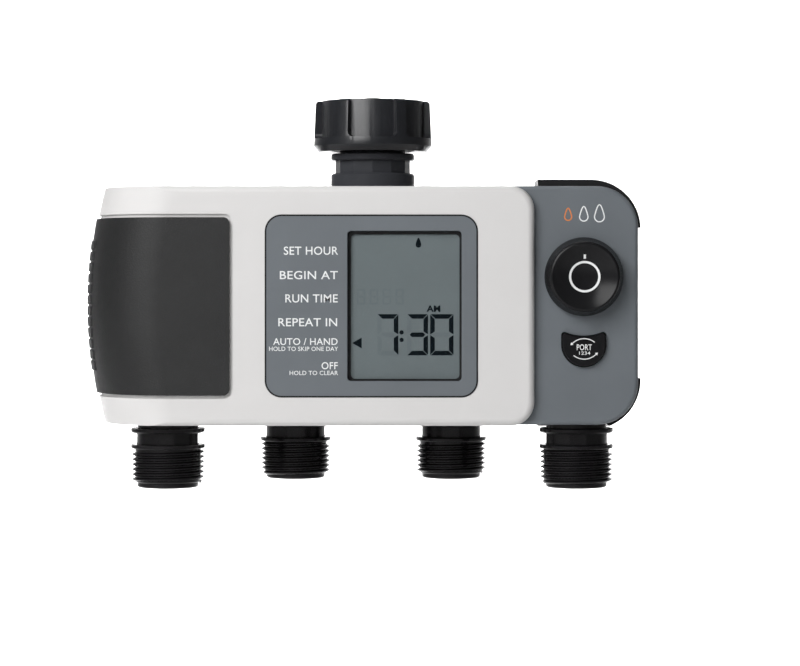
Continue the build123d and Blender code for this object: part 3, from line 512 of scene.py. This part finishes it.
def display_frames():
    """Painted shade: a dark ring standing in for the shadowed groove around the facia, and a dark
    frame inside the display window, wider at top and left, standing in for the shadow of the
    window's recess walls.
    """
    low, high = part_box("display_panel")
    radius = 5.7 * MM
    bm = bmesh.new()
    # painted shade: this dark ring stands in for the shadow in the groove between the facia and
    # the casing
    collar(bm, rounded_outline(low, high, radius, -0.3 * MM),
           rounded_outline(low, high, radius, 0.27 * MM), low.y - 0.02 * MM, 0.5 * MM)
    piece("facia_groove_shade", bm, "housing", "black_plastic", smooth=False)

    low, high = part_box("lcd_window")
    frame_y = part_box("lcd_module")[0].y - 0.5 * MM
    line = rounded_outline(low, high, 1.6 * MM)
    middle_x = (low.x + high.x) / 2
    middle_z = (low.z + high.z) / 2
    # painted shadow: the frame is wider at the top and left, where the window's recess walls cast
    # shade from the upper-left light
    left, right, top, bottom = 2.05 * MM, 1.65 * MM, 2.1 * MM, 1.6 * MM
    inner = [(x + (left if x < middle_x else -right), z + (bottom if z < middle_z else -top))
             for x, z in line]
    bm = bmesh.new()
    collar(bm, inner, line, frame_y, 0.3 * MM)
    piece("window_recess_shadow", bm, "housing", "black_plastic", smooth=False)


def display_print():
    """Liquid crystal figures, faint unlit shapes and the pointer."""
    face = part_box("lcd_module")[0].y - 0.05 * MM
    lit = bmesh.new()
    ghost = bmesh.new()
    bottom, height, thick = -82.1 * MM, 14.7 * MM, 1.6 * MM
    for figure, x, width in (("7", 2.1, 7.5), ("3", 12.7, 7.5), ("0", 21.0, 8.3)):
        bars = DIGIT_BARS[figure]
        digit(lit, bars, x * MM, bottom, width * MM, height, face, thick)
        rest = [b for b in "abcdefg" if b not in bars]
        digit(ghost, rest, x * MM, bottom, width * MM, height, face, thick)
    for z in (-73.9, -76.6):
        plate(lit, [((10.75 + 0.8 * math.cos(a)) * MM, (z + 0.8 * math.sin(a)) * MM)
                    for a in (math.pi / 4 * k for k in range(8))], face, 0.04 * MM)
    plate(lit, [(-6.9 * MM, -77.7 * MM), (-3.5 * MM, -75.8 * MM), (-3.5 * MM, -79.6 * MM)],
          face, 0.04 * MM)
    drop = [(16.8 * MM + 1.0 * MM * math.sin(a), -42.6 * MM - 1.0 * MM * math.cos(a)
             + (1.5 * MM * max(0, -math.cos(a)) ** 3)) for a in
            (2 * math.pi * k / 28 for k in range(28))]
    plate(lit, drop, face, 0.04 * MM)
    for k in range(4):
        digit(ghost, "abcdefg", (-5.2 + k * 4.6) * MM, -64.0 * MM, 3.0 * MM, 5.6 * MM, face,
              0.6 * MM)
    piece("display_figures", lit, "housing", "lcd_face", smooth=False, material="print_dark")
    piece("display_unlit", ghost, "housing", "lcd_face", smooth=False, material="print_ghost")
    lettering("display_half", "AM", 2.1 * MM, 4.9 * MM, centre=22.3 * MM, z=-65.4 * MM, y=face,
              material="print_dark", weight=0.05)


def control_print():
    """White marks on the dial and the button, and three water drops above them."""
    low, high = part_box("dial_knob")
    x = (low.x + high.x) / 2
    z = (low.z + high.z) / 2
    bm = bmesh.new()
    ring = [(x + 5.2 * MM * math.cos(a), z + 5.2 * MM * math.sin(a))
            for a in (2 * math.pi * k / 72 for k in range(72))]
    band(bm, ring, 0.8 * MM, 0.0, 0.3 * MM, closed=True)
    band(bm, [(x, z + (6.4 + 0.3 * k) * MM) for k in range(6)], 0.8 * MM, 0.0, 0.3 * MM)
    for vert in bm.verts:
        rise = dish_rise(math.hypot(vert.co.x - x, vert.co.z - z) / MM)
        vert.co.y += low.y + (DISH_DEPTH - rise - 0.04) * MM
    piece("dial_mark", bm, "dial", "knob_plastic", smooth=False, material="print_white")

    low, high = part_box("zone_button")
    x = (low.x + high.x) / 2
    face = low.y - PRINT
    bm = bmesh.new()
    for side, arc_z in ((1, -82.2), (-1, -77.4)):
        arc = [(x + 6.06 * MM * math.cos(a), arc_z * MM + 6.06 * MM * math.sin(a)) for a in
               (side * math.radians(90) + math.radians(44.5 - 83 * k / 20) for k in range(21))]
        band(bm, arc, 0.34 * MM, face, PRINT)
        end = Vector(arc[0])
        way = (end - Vector(arc[1])).normalized()
        across = Vector((-way.y, way.x))
        plate(bm, [tuple(end + way * 0.9 * MM), tuple(end - across * 0.62 * MM),
                   tuple(end + across * 0.62 * MM)], face, PRINT)
    piece("button_arrows", bm, "zone_button", "knob_plastic", smooth=False,
          material="print_white")
    lettering("button_word", "PORT", 2.1 * MM, 5.4 * MM, centre=x, z=-79.2 * MM, y=face,
              body="zone_button")
    lettering("button_numbers", "1234", 1.15 * MM, 4.0 * MM, centre=x, z=-81.3 * MM, y=face,
              body="zone_button")

    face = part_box("control_housing")[0].y - PRINT
    for k, shade in enumerate(("print_orange", "print_white", "print_white")):
        bm = bmesh.new()
        cx, cz, r = (70.4 + k * 5.6) * MM, -32.6 * MM, (1.25 + 0.25 * k) * MM
        drop = [(cx + r * math.sin(a), cz - r * math.cos(a) + 1.5 * r * max(0, -math.cos(a)) ** 3)
                for a in (2 * math.pi * s / 36 for s in range(36))]
        band(bm, drop, 0.42 * MM, face, PRINT, closed=True)
        piece(f"drop_mark_{k + 1}", bm, "housing", "grey_plastic", smooth=False, material=shade)


# ---- light, floor and camera -------------------------------------------------------------------

def area_light(name, place, target, size, power, spread=180):
    """A square soft light aimed at a point, its beam as wide as spread in degrees."""
    lamp = bpy.data.lights.new(name, "AREA")
    lamp.energy = power
    lamp.size = size
    lamp.spread = math.radians(spread)
    obj = bpy.data.objects.new(name, lamp)
    obj.location = place
    aim = Vector(target) - Vector(place)
    obj.rotation_euler = aim.to_track_quat("-Z", "Y").to_euler()
    bpy.context.scene.collection.objects.link(obj)


def studio():
    """Pale floor and sweep, soft lights and the front camera."""
    low, high = CAD_BOX
    middle = (low + high) / 2
    floor_z = low.z - 0.12
    bend_y, bend_r, half_width = 1.1, 0.5, 5.0
    bend = [(bend_y + bend_r * math.sin(a), bend_r - bend_r * math.cos(a))
            for a in (math.pi / 2 * k / 12 for k in range(13))]
    line = [(-2.5, 0.0)] + bend + [(bend_y + bend_r, 3.1)]
    bm = bmesh.new()
    rows = [[bm.verts.new((x, y, floor_z + z)) for y, z in line]
            for x in (-half_width, half_width)]
    for k in range(len(line) - 1):
        bm.faces.new((rows[0][k], rows[1][k], rows[1][k + 1], rows[0][k + 1]))
    mesh = bpy.data.meshes.new("sweep")
    bm.to_mesh(mesh)
    bm.free()
    for face in mesh.polygons:
        face.use_smooth = True
    mesh.materials.append(plastic("pale_floor", (0.93, 0.93, 0.93), 0.9, 0.0, 0.3, 0.01))
    sweep = bpy.data.objects.new("sweep", mesh)
    bpy.context.scene.collection.objects.link(sweep)

    area_light("key", (-0.68, -1.17, 0.62), middle, 0.9, 16.8)
    area_light("side", (-0.52, -0.50, 0.42), middle, 0.22, 1.5)
    area_light("top", (-0.2, -0.25, 1.1), middle, 0.8, 0.9)
    area_light("wall", (0.0, 0.80, 1.7), (0, 1.12, -0.15), 0.8, 20, 62)
    world = bpy.data.worlds.new("soft_room")
    world.use_nodes = True
    background = world.node_tree.nodes["Background"]
    background.inputs["Color"].default_value = (1, 1, 1, 1)
    background.inputs["Strength"].default_value = 0.09
    bpy.context.scene.world = world

    camera = bpy.data.cameras.new("front")
    camera.lens = 120
    camera.sensor_width = 36
    camera.shift_y = -0.069
    camera.clip_end = 20
    obj = bpy.data.objects.new("front", camera)
    obj.location = (0.0102, -0.9987, -0.0544)
    obj.rotation_euler = (math.pi / 2, 0, 0)
    scene = bpy.context.scene
    scene.collection.objects.link(obj)
    scene.camera = obj
    scene.view_settings.view_transform = "Standard"


dress_nodes()
outlet_pieces()
strainer_dome()
turned_knob()
panel_print()
display_frames()
display_print()
control_print()
studio()
